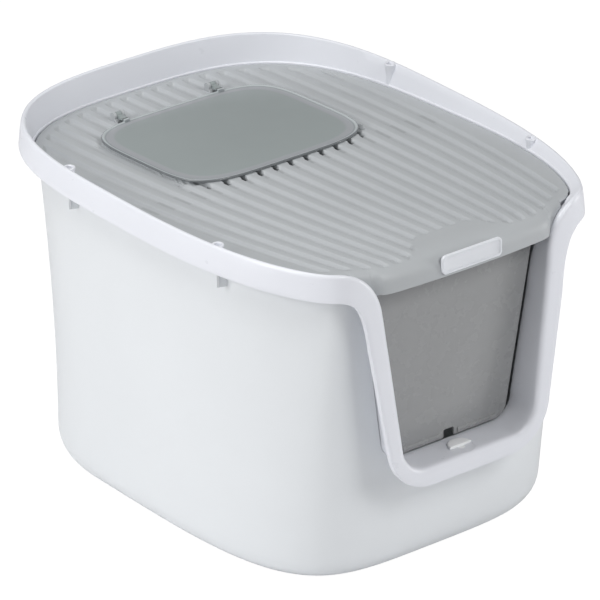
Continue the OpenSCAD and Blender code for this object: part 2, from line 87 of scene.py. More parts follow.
def add_node(tree, kind, inputs=(), **settings):
    """A node with its settings, then its inputs set to values or linked to other sockets."""
    new = tree.nodes.new(kind)
    for name, value in settings.items():
        setattr(new, name, value)
    for socket, value in dict(inputs).items():
        if isinstance(value, bpy.types.NodeSocket):
            tree.links.new(value, new.inputs[socket])
        else:
            new.inputs[socket].default_value = value
    return new


def maths(tree, operation, *terms):
    """The result of a Math node on numbers or sockets."""
    return add_node(tree, "ShaderNodeMath", enumerate(terms), operation=operation).outputs[0]


def finish(name, colour, rough, drift, peel, peel_scale, coat=0.0, alpha=1.0, metal=0.0):
    """A factory surface: slow colour drift, handling marks in its gloss and a fine orange-peel skin."""
    made = bpy.data.materials.new(name)
    made.use_nodes = True
    tree = made.node_tree
    shader = tree.nodes["Principled BSDF"]
    where = add_node(tree, "ShaderNodeTexCoord").outputs["Object"]

    def noise(scale, detail, roughness=0.5):
        inputs = {"Vector": where, "Scale": scale, "Detail": detail, "Roughness": roughness}
        return add_node(tree, "ShaderNodeTexNoise", inputs).outputs["Fac"]

    colours = add_node(tree, "ShaderNodeValToRGB", {"Fac": noise(scale=7.0, detail=3.0)})
    for stop, position, share in zip(colours.color_ramp.elements, (0.3, 0.7), (1 - drift, 1 + drift)):
        stop.position = position
        stop.color = [min(1.0, c * share) for c in colour] + [1]
    marks = add_node(tree, "ShaderNodeMapRange", {
        "Value": noise(scale=55.0, detail=6.0, roughness=0.62),
        "From Min": 0.3,
        "From Max": 0.7,
        "To Min": rough * 0.82,
        "To Max": min(1.0, rough * 1.22)})
    coarse_skin = noise(scale=42.0, detail=2.0)
    skin = maths(tree, "MULTIPLY_ADD", coarse_skin, 6.0, noise(scale=peel_scale, detail=2.0))
    bump = add_node(tree, "ShaderNodeBump", {"Height": skin, "Strength": peel, "Distance": 0.0002})
    tree.links.new(colours.outputs["Color"], shader.inputs["Base Color"])
    tree.links.new(marks.outputs["Result"], shader.inputs["Roughness"])
    tree.links.new(bump.outputs["Normal"], shader.inputs["Normal"])
    shader.inputs["Metallic"].default_value = metal
    shader.inputs["Coat Weight"].default_value = coat
    shader.inputs["Coat Roughness"].default_value = 0.18
    shader.inputs["Alpha"].default_value = alpha
    return made


def oval_radius(angle, half_width, back, front, back_power, front_power):
    """Distance from the middle to a superellipse whose back and front halves differ."""
    across = np.abs(np.cos(angle)) + NEVER_ZERO
    along = np.abs(np.sin(angle)) + NEVER_ZERO
    at_back = np.sin(angle) > 0
    reach = np.where(at_back, back, front)
    power = np.where(at_back, back_power, front_power)
    return ((across / half_width) ** power + (along / reach) ** power) ** (-1 / power)


def rim_outline(deg):
    """Outer edge of the rim, seen from above, in a direction from its middle."""
    angle = np.radians(np.asarray(deg, float))
    free = oval_radius(angle, **RIM)
    forward = -np.minimum(np.sin(angle), FRONT_SINE)
    flat = np.where(np.sin(angle) < FRONT_SINE, (RIM_MIDDLE_Y - FRONT_Y) / forward, FAR_OFF)
    radius = free * (1 + (free / flat) ** FLAT_POWER) ** (-1 / FLAT_POWER)
    return np.stack([np.cos(angle) * radius, RIM_MIDDLE_Y + np.sin(angle) * radius], -1)


def base_outline(deg):
    """Outer edge of the bin at the floor, seen from above."""
    angle = np.radians(np.asarray(deg, float))
    radius = oval_radius(angle, **BASE)
    return np.stack([np.cos(angle) * radius, BASE_MIDDLE_Y + np.sin(angle) * radius], -1)


def inward(outline, deg):
    """Direction into the box, square to an outline."""
    along = outline(np.asarray(deg, float) + 0.3) - outline(np.asarray(deg, float) - 0.3)
    square = np.stack([-along[..., 1], along[..., 0]], -1)
    return square / np.linalg.norm(square, axis=-1, keepdims=True)


def inset(outline, deg, depth):
    """An outline moved into the box by depth."""
    return outline(deg) + np.asarray(depth)[..., None] * inward(outline, deg)


def lid_z(y):
    """Height of the lid's flat top."""
    return LID_MIDDLE_Z - LID_TILT * y


def front_dip(x, y):
    """How far the rim's top sinks over the front door."""
    sunk = np.minimum(DIP_MOST, DIP_RISE * ((DIP_HALF_WIDTH - np.abs(x)) / DIP_RUN) ** 2)
    return np.where((y < DIP_Y) & (np.abs(x) < DIP_HALF_WIDTH), sunk, 0.0)


def ledge_z(deg, depth):
    """Height of the ledge that carries the lid, depth inside the rim's edge."""
    edge = rim_outline(deg)
    dip = front_dip(edge[..., 0], edge[..., 1])
    under_lid = lid_z(inset(rim_outline, deg, depth)[..., 1]) - LID_THICK - LID_GAP
    return np.minimum(under_lid, RIM_TOP - dip - LEDGE_DROP - np.minimum(LEDGE_MORE, dip))


def crease(bm, sharp):
    """Smooth shading with hard edges where faces turn by more than sharp degrees."""
    for face in bm.faces:
        face.smooth = True
    for edge in bm.edges:
        edge.smooth = len(edge.link_faces) == 2 and edge.calc_face_angle(0.0) <= math.radians(sharp)


def add_mesh(name, shape, material, sharp=38.0, weld=0.0):
    """An object from points in millimetres and faces, with its normals turned outwards."""
    points, faces = shape
    mesh = bpy.data.meshes.new(name)
    metres = [(p[0] / 1000, p[1] / 1000, p[2] / 1000) for p in points]
    mesh.from_pydata(metres, [], [list(map(int, face)) for face in faces])
    bm = bmesh.new()
    bm.from_mesh(mesh)
    if weld:
        bmesh.ops.remove_doubles(bm, verts=bm.verts, dist=weld / 1000)
    bmesh.ops.dissolve_degenerate(bm, edges=bm.edges, dist=1e-7)
    bmesh.ops.recalc_face_normals(bm, faces=bm.faces)
    crease(bm, sharp)
    bm.to_mesh(mesh)
    bm.free()
    mesh.materials.append(material)
    made = bpy.data.objects.new(name, mesh)
    bpy.context.scene.collection.objects.link(made)
    return made


def loft(rings, ends="capped"):
    """Faces between equal closed rings; the ends are capped, left open, or joined to each other."""
    size = len(rings[0])
    points = [tuple(p) for ring in rings for p in ring]
    faces = []
    for k in range(len(rings) if ends == "joined" else len(rings) - 1):
        a = k * size
        b = (k + 1) % len(rings) * size
        faces += [(a + i, b + i, b + (i + 1) % size, a + (i + 1) % size) for i in range(size)]
    if ends == "capped":
        last = (len(rings) - 1) * size
        faces += [tuple(range(size))[::-1], tuple(last + i for i in range(size))]
    return points, faces


def together(shapes):
    """Several shapes as one."""
    points = []
    faces = []
    for some_points, some_faces in shapes:
        first = len(points)
        points += [tuple(p) for p in some_points]
        faces += [tuple(i + first for i in face) for face in some_faces]
    return points, faces


def plate(outline, y0, y1, bevel):
    """An upright plate: its outline in (x, z), from y0 back to y1, with edges rounded by bevel."""
    flat = np.array(outline, float)
    ahead = np.roll(flat, -1, 0)
    along = ahead - np.roll(flat, 1, 0)
    square = np.stack([-along[:, 1], along[:, 0]], -1)
    square /= np.linalg.norm(square, axis=1, keepdims=True)
    if np.sum(flat[:, 0] * ahead[:, 1] - ahead[:, 0] * flat[:, 1]) < 0:
        square = -square
    edge = [(bevel, 0.0), (bevel * 0.3, bevel * 0.3), (0.0, bevel)]
    steps = [(shrink, y0 + back) for shrink, back in edge]
    steps += [(shrink, y1 - back) for shrink, back in reversed(edge)]
    return loft([[(x, y, z) for x, z in flat + square * shrink] for shrink, y in steps])


def settle(made, sharp):
    """Makes the result of an object's modifier its own plain mesh, and takes the modifier off."""
    bpy.context.view_layer.update()
    ready = made.evaluated_get(bpy.context.evaluated_depsgraph_get())
    mesh = bpy.data.meshes.new_from_object(ready)
    made.modifiers.clear()
    before = made.data
    material = before.materials[0]
    made.data = mesh
    mesh.materials.clear()
    mesh.materials.append(material)
    bpy.data.meshes.remove(before)
    bm = bmesh.new()
    bm.from_mesh(mesh)
    crease(bm, sharp)
    for face in bm.faces:
        face.material_index = 0
    bm.to_mesh(mesh)
    bm.free()


def cut(made, cutter):
    """Takes cutter out of an object for good, and deletes the cutter."""
    modifier = made.modifiers.new("cut", "BOOLEAN")
    modifier.operation = "DIFFERENCE"
    modifier.solver = "MANIFOLD"
    modifier.object = cutter
    settle(made, 34)
    bpy.data.objects.remove(cutter)


def copying_tree():
    """A Geometry Nodes tree that joins copies of one piece, set at places, to an object's own mesh."""
    tree = bpy.data.node_groups.new("copies_at_places", "GeometryNodeTree")
    for name, kind in (("Own mesh", "Geometry"), ("Piece", "Object"), ("Places", "Object"),
                       ("Turn on the left", "Float"), ("Finish", "Material")):
        tree.interface.new_socket(name, in_out="INPUT", socket_type="NodeSocket" + kind)
    tree.interface.new_socket("Mesh", in_out="OUTPUT", socket_type="NodeSocketGeometry")
    given = add_node(tree, "NodeGroupInput").outputs
    piece = add_node(tree, "GeometryNodeObjectInfo", {"Object": given["Piece"]}).outputs["Geometry"]
    places = add_node(tree, "GeometryNodeObjectInfo", {"Object": given["Places"]}).outputs["Geometry"]
    position = add_node(tree, "GeometryNodeInputPosition").outputs[0]
    x = add_node(tree, "ShaderNodeSeparateXYZ", {0: position}).outputs["X"]
    turn = maths(tree, "MULTIPLY", maths(tree, "LESS_THAN", x, 0.0), given["Turn on the left"])
    about_z = add_node(tree, "ShaderNodeCombineXYZ", {"Z": turn}).outputs[0]
    copies = add_node(tree, "GeometryNodeInstanceOnPoints", {
        "Points": places,
        "Instance": piece,
        "Rotation": about_z})
    joined = add_node(tree, "GeometryNodeJoinGeometry", {0: given["Own mesh"]})
    tree.links.new(copies.outputs[0], joined.inputs[0])
    real = add_node(tree, "GeometryNodeRealizeInstances", {0: joined.outputs[0]})
    dressed = add_node(tree, "GeometryNodeSetMaterial", {
        "Geometry": real.outputs[0],
        "Material": given["Finish"]})
    add_node(tree, "NodeGroupOutput", {0: dressed.outputs[0]})
    return tree


def add_copies(made, piece, places, left_turn=0.0, sharp=30):
    """Joins copies of piece, set at places, to an object's mesh, and deletes the piece."""
    spots = add_mesh("places", (places, []), made.data.materials[0])
    modifier = made.modifiers.new("copies", "NODES")
    modifier.node_group = copies_at_places
    values = {"Piece": piece, "Places": spots, "Turn on the left": left_turn,
              "Finish": made.data.materials[0]}
    for socket in copies_at_places.interface.items_tree:
        if socket.name in values:
            modifier[socket.identifier] = values[socket.name]
    settle(made, sharp)
    bpy.data.objects.remove(piece)
    bpy.data.objects.remove(spots)


def place(made, body, slot, *nodes):
    """Rides a piece on its body and hides the imported parts that it stands for; slot is not used."""
    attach(made, body)
    if nodes:
        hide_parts(*nodes)


def u_line(start_z, top_half, bottom_half, bottom_z, corner):
    """Right half of a U: down the leaning leg, round the corner and along the bottom to the middle."""
    lean = math.atan2(top_half - bottom_half, FACE_TOP - bottom_z)
    turn_x = bottom_half + corner * math.tan(lean) - corner / math.cos(lean)
    turn_z = bottom_z + corner
    leg = np.linspace(start_z, turn_z - corner * math.sin(lean), LEG_STEPS + 1)[:-1]
    turn = np.linspace(-lean, -math.pi / 2, CORNER_STEPS + 1)[:-1]
    points = [(bottom_half + (z - bottom_z) * math.tan(lean), z) for z in leg]
    points += [(turn_x + corner * math.cos(a), turn_z + corner * math.sin(a)) for a in turn]
    points += [(turn_x * (1 - k / BOTTOM_STEPS), bottom_z) for k in range(BOTTOM_STEPS + 1)]
    return np.array(points)


def bin_ring(z, depth):
    """The bin's wall at a height, depth inside its outer face."""
    roll = 0
    if z < BOTTOM_ROLL:
        roll = BOTTOM_ROLL - math.sqrt(BOTTOM_ROLL ** 2 - (BOTTOM_ROLL - z) ** 2)
    rise = z / (SKIRT_Z - BIN_JOIN)
    low = inset(base_outline, ALL_ROUND, depth + roll)
    high = inset(rim_outline, ALL_ROUND, BIN_INSET + depth)
    return [(x, y, z) for x, y in low * (1 - rise) + high * rise]


def bin_top(depth):
    """The bin's top edge, just under the rim's ledge and lower still where the rim dips."""
    edge = rim_outline(ALL_ROUND)
    dip = front_dip(edge[:, 0], edge[:, 1])
    heights = ledge_z(ALL_ROUND, BIN_INSET + depth) - RIM_WALL - 0.1 - np.minimum(LEDGE_MORE, dip)
    return [(x, y, z) for (x, y), z in zip(inset(rim_outline, ALL_ROUND, BIN_INSET + depth), heights)]


def rim_half_width(y):
    """Half the rim's width at a place along its sides."""
    at_back = y > RIM_MIDDLE_Y
    reach = RIM["back"] if at_back else RIM["front"]
    power = RIM["back_power"] if at_back else RIM["front_power"]
    return RIM["half_width"] * (1 - (abs(y - RIM_MIDDLE_Y) / reach) ** power) ** (1 / power)


tub_white = finish("tub_white", (0.80, 0.825, 0.845), 0.36, 0.012, 0.10, 700.0, coat=0.15)
roll_heights = [BOTTOM_ROLL * (1 - math.cos(math.radians(a))) for a in BIN_ROLL_STEPS]
rings = [bin_ring(z, 0) for z in [0.0] + roll_heights + BIN_HEIGHTS]
rings += [bin_top(0), bin_top(BIN_WALL)]
rings += [bin_ring(z, BIN_WALL) for z in BIN_HEIGHTS[::-1]]
rings += [bin_ring(z, BIN_WALL) for z in roll_heights[::-1] if z > BIN_WALL + 0.4]
rings += [bin_ring(BIN_WALL, BIN_WALL)]
tub = add_mesh("tub_bin", loft(rings), tub_white, 50)

gap = RIM_WALL + DOORWAY_GAP
doorway = u_line(DOORWAY_TOP, JAMB_LINE["top_half"] + gap, JAMB_LINE["bottom_half"] + gap,
                 JAMB_LINE["bottom_z"] - gap, JAMB_LINE["corner"] + gap)
doorway = np.concatenate([doorway, (doorway[:-1] * [-1, 1])[::-1]])
rings = [[(x, y, z) for x, z in doorway] for y in DOORWAY_DEPTHS]
cut(tub, add_mesh("doorway_cutter", loft(rings), tub_white))
place(tub, "tub", "tub_white", "tub")

copies_at_places = copying_tree()
boss_places = [(side * (rim_half_width(y) - BOSS_INSET), y, 0) for side in (-1, 1) for y in BOSS_ROWS]
one_gusset = add_mesh("one_gusset", plate(GUSSET_OUTLINE, -1.2, 1.2, bevel=0.4), tub_white)
gussets = add_mesh("tub_gussets", ([], []), tub_white)
add_copies(gussets, one_gusset, boss_places, left_turn=math.pi, sharp=38)
place(gussets, "tub", "tub_white")

# Rim and front frame
# One white plastic moulding that caps the bin: skirt, crest and an inner ledge for the lid. At the
# front corners the crest sweeps down in an S into the door frame's legs, with jambs and a sill.
# Its bosses take the screws, and an ear behind each jamb takes the door's stub pin.
SEAT = 14.6                 # from the rim's edge to the foot of its inner slope
SLOPE_OVER_LID = 1.4        # that foot stands this far above the lid
SWEEP_BANDS = ((90, 68, 12), (68, 36, 26), (36, -40, 34), (-40, -61.5, 22))
SWEEP_END = -61.5           # direction where the rim leaves its outline and starts to sweep down
SWEEP_STEPS = 44
FACE_LEAN = 0.049           # the frame's face leans forward towards its foot
LEAN_X = 142                # the lean starts here on the sweep, and is full after LEAN_RUN
LEAN_RUN = 20
FACE_LINE = dict(top_half=124.7, bottom_half=88.4, bottom_z=104.9, corner=49.9)
OPENING_LINE = dict(top_half=101.6, bottom_half=75.4, bottom_z=123.7, corner=27.6)
JAMB_Y = -227.5             # back edge of the jambs
OVER_DOOR_Y = -250          # lines along the front where the rim's dip, slope and ledge are measured
FRONT_SLOPE_Y = -238.0
FRONT_LEDGE_Y = -236.0
LEG_Z = 258.0               # height where the sweep has become a straight leg
CREST_LEG_Z = 292.0         # height where the crest has reached the opening's line
CREST_SHARE = 0.62          # share of the sweep in which it does so
BUTTON_Y = -248.5
SILL_Z = 123.2              # floor of the button's recess
BOSS_TOP = RIM_TOP - 0.2
DOOR_PIN_Y = -229.5
DOOR_PIN_Z = 302.0
EAR_X = 104.7


def smooth(share):
    """Zero to one with soft ends."""
    share = min(1.0, max(0.0, share))
    return share * share * (3 - 2 * share)


def bezier(start, pull_1, pull_2, end, share):
    """A point on a cubic curve, share of the way from start to end."""
    left = 1 - share
    near_start = left ** 3 * np.array(start) + 3 * left ** 2 * share * np.array(pull_1)
    return near_start + 3 * left * share ** 2 * np.array(pull_2) + share ** 3 * np.array(end)


def turned(profile, centre, axis="z", steps=48):
    """A profile of (radius, height) points turned about an axis through centre."""
    rings = []
    for radius, height in profile:
        ring = []
        for k in range(steps):
            angle = 2 * math.pi * k / steps
            point = (radius * math.cos(angle), radius * math.sin(angle), height)
            if axis == "x":
                point = (point[2], point[0], point[1])
            ring.append([c + p for c, p in zip(centre, point)])
        rings.append(ring)
    return loft(rings)


def rim_profile(face, slope_foot, ledge):
    """The rim as (up its face, into the box) points, from heights above the skirt's lower edge."""
    crest = face - 1.2
    fall = slope_foot - crest
    return [(0, 1.5), (0, 0.8), (0.35, 0.2), (1.2, 0.1), (5, 0.45), (0.5 * face, 1.2), (face - 7, 2.0),
            (face - 3.6, 2.45), (face - 1.8, 3.0), (face - 0.7, 3.7), (face - 0.12, 4.7), (face, 5.5),
            (face - 0.3, 6.4), (crest, 7.4), (crest + fall * 0.35, 9.3), (crest + fall * 0.72, 11.4),
            (slope_foot + 0.05, 12.8), (slope_foot - 0.1, 13.6), (slope_foot - 0.7, 14.2),
            (ledge, 14.8), (ledge, 23.3), (ledge - RIM_WALL, 23.5), (ledge - RIM_WALL, 12.4),
            (slope_foot - 4.5, 10.2), (face - 6.5, 4.9), (0.5 * face, 3.7), (0.4, 2.9)]


def leg_profile(face, opening, depth):
    """The same points on a leg: its face, then the jamb, which widens by opening towards its back."""
    def jamb(share, wall=0.0):
        return face - opening * share - wall, 4.8 + (depth - 4.8) * share

    edge = [(0, 5.0), (0, 1.8), (0.5, 0.5), (1.8, 0), (0.3 * face, 0), (0.55 * face, 0),
            (face - 5.6, 0.02), (face - 3.8, 0.3), (face - 2.3, 0.85), (face - 1.1, 1.7),
            (face - 0.3, 3.0), (face, 4.8)]
    side = [jamb(share) for share in (0.12, 0.26, 0.42, 0.6, 0.78, 0.92, 0.985)]
    back = [(face - opening - 0.7, depth), (face - opening - RIM_WALL, depth)]
    inner = [jamb(0.8, RIM_WALL), jamb(0.4, RIM_WALL), (face - RIM_WALL - 1, RIM_WALL + 2),
             (face - RIM_WALL - 3, RIM_WALL), (RIM_WALL + 0.4, RIM_WALL), (RIM_WALL - 0.4, 5.0)]
    return edge + side + back + inner


def station(foot, crest, into_box, profile):
    """A profile stood up in space, from foot towards crest and into the box."""
    up_face = np.subtract(crest, foot)
    up_face = up_face / np.linalg.norm(up_face)
    into_box = np.array([into_box[0], into_box[1], 0.0])
    return [tuple(np.array(foot) + up_face * a + into_box * b) for a, b in profile]


def frame_x(line, z):
    """Half width of one of the frame's lines at a height on its leg."""
    lean = math.atan2(line["top_half"] - line["bottom_half"], FACE_TOP - line["bottom_z"])
    return line["bottom_half"] + (z - line["bottom_z"]) * math.tan(lean)


def on_sweep(x, z):
    """A point on the rim's outline that leans forward as it becomes the frame's face."""
    y = float(np.interp(x, front_edge[:, 0], front_edge[:, 1]))
    share = min(1, max(0, (LEAN_X - x) / LEAN_RUN))
    return x, y - FACE_LEAN * max(0, FACE_TOP - z) * share, z


def on_face(x, z):
    """A point on the frame's leaning face."""
    return x, FRONT_Y - FACE_LEAN * max(0, FACE_TOP - z), z


rim_white = finish("rim_white", (0.795, 0.81, 0.86), 0.33, 0.012, 0.08, 800.0, coat=0.15)
half = []                   # stations on the right side, from the back's middle to the sill's middle
angles = [a for start, stop, count in SWEEP_BANDS for a in np.linspace(start, stop, count)[:-1]]
for angle in angles + [SWEEP_END]:
    edge = rim_outline(angle)
    slope_foot = lid_z(inset(rim_outline, angle, SEAT)[1]) + SLOPE_OVER_LID - SKIRT_Z
    profile = rim_profile(RIM_TOP - SKIRT_Z, slope_foot, ledge_z(angle, SEAT) - SKIRT_Z)
    half.append(station((*edge, SKIRT_Z), (*edge, RIM_TOP), inward(rim_outline, angle), profile))

front_angles = np.linspace(-88, SWEEP_END, 200)
front_edge = rim_outline(front_angles)
front_inward = inward(rim_outline, front_angles)
sweep_x = float(rim_outline(SWEEP_END)[0])
foot_curve = ((sweep_x, SKIRT_Z), (128.5, SKIRT_Z), (118.6, 297), (frame_x(FACE_LINE, LEG_Z), LEG_Z))
crest_curve = ((sweep_x, RIM_TOP), (128, RIM_TOP), (101.8, 323),
               (frame_x(OPENING_LINE, CREST_LEG_Z), CREST_LEG_Z))
for step in range(1, SWEEP_STEPS + 1):
    share = step / SWEEP_STEPS
    foot = bezier(*foot_curve, share)
    if share < CREST_SHARE:
        crest = bezier(*crest_curve, share / CREST_SHARE)
    else:
        z = CREST_LEG_Z + (LEG_Z - CREST_LEG_Z) * (share - CREST_SHARE) / (1 - CREST_SHARE)
        crest = (frame_x(OPENING_LINE, z), z)
    low = on_sweep(*foot)
    high = on_sweep(*crest)
    face = float(np.linalg.norm(np.subtract(high, low)))
    middle = (low[0] + high[0]) / 2
    into_box = np.array([np.interp(middle, front_edge[:, 0], front_inward[:, k]) for k in (0, 1)])
    into_box /= np.linalg.norm(into_box)
    dip = min(4, float(front_dip(high[0], OVER_DOOR_Y)))
    slope_foot = min(lid_z(FRONT_SLOPE_Y) + SLOPE_OVER_LID - SKIRT_Z, face - 3 - dip)
    ledge = min(lid_z(FRONT_LEDGE_Y) - LID_THICK - LID_GAP - SKIRT_Z, face - 9 - dip)
    opening = frame_x(JAMB_LINE, high[2]) - frame_x(OPENING_LINE, high[2])
    as_rim = np.array(rim_profile(face, slope_foot, ledge))
    as_leg = np.array(leg_profile(face, opening, JAMB_Y - high[1]))
    blend = smooth((share - 0.05) / 0.75)
    half.append(station(low, high, into_box, (1 - blend) * as_rim + blend * as_leg))

lines = [u_line(LEG_Z, **line) for line in (FACE_LINE, OPENING_LINE, JAMB_LINE)]
for outer, inner, jamb in list(zip(*lines))[1:]:
    low = on_face(*outer)
    high = on_face(*inner)
    face = float(np.linalg.norm(np.subtract(high, low)))
    up_face = np.subtract(high, low) / face
    opening = -float((jamb[0] - inner[0]) * up_face[0] + (jamb[1] - inner[1]) * up_face[2])
    half.append(station(low, high, (0, 1), leg_profile(face, opening, JAMB_Y - high[1])))
other_half = [[(-x, y, z) for x, y, z in ring] for ring in half[1:-1]][::-1]
rim = add_mesh("rim_and_frame", loft(half + other_half, ends="joined"), rim_white, 44)
recess = turned([(0.01, SILL_Z), (13.0, SILL_Z), (13.4, SILL_Z + 0.3), (13.7, 128), (0.01, 128)],
                (0, BUTTON_Y, 0), steps=72)
cut(rim, add_mesh("recess_cutter", recess, rim_white))
place(rim, "tub", "rim_white", "rim_frame")

boss_profile = [(0.01, 313.0), (4.3, 313.0), (4.3, BOSS_TOP - 12.5), (5.35, BOSS_TOP - 4),
                (5.75, BOSS_TOP - 2), (5.75, BOSS_TOP - 0.7), (5.3, BOSS_TOP - 0.05), (4.0, BOSS_TOP),
                (3.4, BOSS_TOP - 0.5), (3.2, BOSS_TOP - 1.5), (3.2, 314.2), (0.01, 314)]
ear_profile = [(2.58, -5.5), (5.1, -5.5), (5.5, -5.1), (5.5, 5.1), (5.1, 5.5), (2.58, 5.5), (2.58, -5.5)]
ears = [turned(ear_profile, (side * EAR_X, DOOR_PIN_Y, DOOR_PIN_Z), "x") for side in (-1, 1)]
bosses = add_mesh("rim_bosses_and_ears", together(ears), rim_white)
add_copies(bosses, add_mesh("one_boss", turned(boss_profile, (0, 0, 0)), rim_white), boss_places)
place(bosses, "tub", "rim_white")

# Rim screws
# Four zinc-plated steel screws with pan heads, sunk in the open bosses and driven down through
# them. One turned screw is copied to the four places.
SCREW_PROFILE = [(0.01, 296), (1.5, 296.5), (1.73, 297.5), (1.73, 314.4), (2.9, 314.4), (2.95, 315.9),
                 (2.3, 316.6), (1.5, 316.7), (1.4, 315.5), (0.01, 315.4)]
steel = finish("steel", (0.62, 0.63, 0.65), 0.32, 0.05, 0.06, 1500.0, metal=1.0)
screws = add_mesh("rim_screws_zinc", ([], []), steel)
add_copies(screws, add_mesh("one_screw", turned(SCREW_PROFILE, (0, 0, 0), steps=32), steel), boss_places)
place(screws, "tub", "steel", "rim_screws")

# Lid
# A light grey plastic moulding that drops inside the rim. Soft ribs run along its panel, the front
# rolls down into a lip, and a hole under the flap lets the cat in. Four lugs hold the flap's pins.
LID_INSET = SEAT + 0.9      # from the rim's edge to the lid's side
PANEL_EDGE = 0.8            # the panel's top starts this far inside the lid's side
PANEL_Y = -229.0            # the panel ends here, and the rolled front starts
RIB_PITCH = 18.3
RIB_DEPTH = 3.2
LAST_GROOVE = 9             # the outermost groove between ribs on each side of the middle
SPREAD_CURVE = (1, 0.118, -0.110, 0.008)    # the ribs close up towards the front
SPREAD_FROM_Y = -19.3
SPREAD_LENGTH = 252.7
GROOVE_FLOOR = 0.22         # shares of the way from a groove's middle to a rib's middle
GROOVE_SIDE = 0.40
SLOT_FLOOR = 0.32
# Across the lid and along it, the line in front where the ribs run out.
RIB_ENDS = ([0, 30, 42, 52, 62, 85, 98, 107, 120, 137, 150, 175],
            [-214, -214, -226, -239, -245, -245, -240.5, -237, -229, -220, -210, -190])
RIB_FRONT_FADE = 2.0
RIB_BACK_FADE = 4.0
ENTRY_Y = 97.5              # middle of the entry hole and of the flap
HOLE_HALF = (100.0, 82.5)
HOLE_POWER = 4.4
FLAP_HALF = (109.0, 91.5)
FLAP_POWER = 4.6
SLOT_DEPTH = 5.0            # the ribs deepen into slots along the flap's front edge
SLOT_SHARES = (1.02, 1.052)  # shares of the flap's outline between which the slots fade out
SLOT_BACK_Y = 40
SLOT_Y = 4.0
SLOT_HALF = 12.0
CHANNEL_START = 0.975       # a channel along the flap's sides, as shares of its outline
CHANNEL_LEFT = 1.035
CHANNEL_RIGHT = 1.022
CHANNEL_X = 92
LIP_HALF = 101.0
LIP_Z = lid_z(FRONT_Y) - 24.0
LIP_BOW_END = 84
LIP_CORNER = ([84, 90, 95, 98.5, LIP_HALF, 103.5, 108, 131],
              [-256.7, -256.0, -254.9, -253.4, -251.2, -248.6, -246.3, -237.6])
LIP_SIDE_X = 124            # past this the rolled front keeps inside the lid's side
ROLL_STEPS = 22
ROLL_POWER = 0.66
ROW_BANDS = ((-227, -204, 1.3), (-204, -4, 9.0), (-4, 18, 1.3), (18, 183, 7.5), (183, 196, 1.3),
             (197, 250, 1.8))
GROOVE_LANES = [k * 0.06 for k in range(-7, 8)] + [0.5]
LUG_X = 57
FLAP_PIN_Y = 200.0
FLAP_PIN_Z = lid_z(FLAP_PIN_Y) + 5.0


def object_axes(tree):
    """Sockets X, Y and Z of the place on the object, in metres."""
    where = add_node(tree, "ShaderNodeTexCoord").outputs["Object"]
    return add_node(tree, "ShaderNodeSeparateXYZ", {0: where}).outputs


def tint(material, amount, colour, blend):
    """Lays a colour over the base colour of a finish."""
    tree = material.node_tree
    base = tree.nodes["Principled BSDF"].inputs["Base Color"]
    inputs = {"Factor": amount, "A": base.links[0].from_socket, "B": colour}
    laid = add_node(tree, "ShaderNodeMix", inputs, data_type="RGBA", blend_type=blend)
    tree.links.new(laid.outputs["Result"], base)


def rib_spread(y):
    """How far apart the ribs stand, as a share of their pitch."""
    share = (y - SPREAD_FROM_Y) / SPREAD_LENGTH
    return sum(factor * share ** power for power, factor in enumerate(SPREAD_CURVE))


def flap_share(x, y):
    """1 on the flap's outline, less inside it."""
    across = (abs(x) / FLAP_HALF[0]) ** FLAP_POWER
    return (across + (abs(y - ENTRY_Y) / FLAP_HALF[1]) ** FLAP_POWER) ** (1 / FLAP_POWER)


def rib_back_y(x):
    """Line near the back edge where the ribs run out."""
    across = min(0.999, abs(x) / (RIM["half_width"] - SEAT - 6.0))
    power = RIM["back_power"]
    return RIM_MIDDLE_Y + (RIM["back"] - SEAT - 7.0) * (1 - across ** power) ** (1 / power)


def rib_height(x, y):
    """Depth of the grooves between the ribs, as a height below the lid's flat top."""
    lane = x / (RIB_PITCH * rib_spread(y))
    if abs(round(lane)) > LAST_GROOVE:
        return 0.0
    off_groove = min(1.0, abs(lane - round(lane)) * 2)
    depth = RIB_DEPTH * (1 - smooth((off_groove - GROOVE_FLOOR) / GROOVE_SIDE))
    flap = flap_share(x, y)
    if flap < SLOT_SHARES[1] and y < SLOT_BACK_Y:
        fade = (flap - SLOT_SHARES[0]) / (SLOT_SHARES[1] - SLOT_SHARES[0])
        depth = SLOT_DEPTH if off_groove < SLOT_FLOOR else depth * max(0.0, min(1.0, fade))
    channel_end = CHANNEL_LEFT if x < 0 else CHANNEL_RIGHT
    if CHANNEL_START < flap < channel_end and abs(x) > CHANNEL_X:
        depth = max(depth, RIB_DEPTH)
    from_front = min(1.0, max(0.0, (y - float(np.interp(abs(x), *RIB_ENDS))) / RIB_FRONT_FADE))
    from_back = min(1.0, max(0.0, (rib_back_y(x) - y) / RIB_BACK_FADE))
    return -depth * smooth(from_front * from_back)


def lid_side(deg, depth):
    """The lid's side seen from above, moved inwards by depth."""
    return inset(rim_outline, deg, LID_INSET + depth)


def lip_y(x):
    """Front of the lip: bowed in the middle, then curling back to the lid's side."""
    x = abs(x)
    if x <= LIP_BOW_END:
        return FRONT_Y - 0.8 - 4.2 * (1 - (x / LIP_HALF) ** 2)
    y = float(np.interp(x, *LIP_CORNER))
    return max(y, float(np.interp(x, side_x, side_y))) if x > LIP_SIDE_X else y


def lip_low(x):
    """Lower edge of the lip, which rises at its corners and then follows the dipping rim."""
    x = abs(x)
    rim_z = RIM_TOP - float(front_dip(x, OVER_DOOR_Y))
    if x <= LIP_HALF:
        return LIP_Z
    if x <= LIP_HALF + 7:
        z = LIP_Z + (rim_z - 3 - LIP_Z) * (x - LIP_HALF) / 7
        return max(z, rim_z + 0.6) if x < LIP_HALF + 5 else z
    return min(rim_z - 3.0, lid_z(FRONT_SLOPE_Y) - 2.4)


